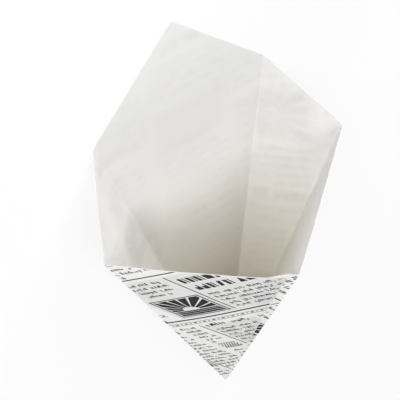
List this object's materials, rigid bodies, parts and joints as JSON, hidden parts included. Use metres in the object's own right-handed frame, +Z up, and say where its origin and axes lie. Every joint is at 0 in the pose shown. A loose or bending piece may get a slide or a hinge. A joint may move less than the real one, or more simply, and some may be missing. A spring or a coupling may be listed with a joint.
{
  "type": "paper fries cone",
  "caption": "Pointed paper bag for fries, folded and glued from a square sheet, open at the mouth and lying on its largest panel.",
  "frame": {"origin": "on the surface that the bag lies on, under the middle of its bounding box", "axes": "+Y from the closed tip toward the mouth, along the base panel's diagonal; +Z up from the base panel to the ridge fold; +X to the right when looking along +Y"},
  "size_m": [0.1256, 0.2688, 0.0773],
  "materials": {
    "printed_paper": "matt greaseproof paper, plain inside and printed outside"
  },
  "bodies": {
    "root": {"paper_cone": "printed_paper"}
  },
  "joints": []
}
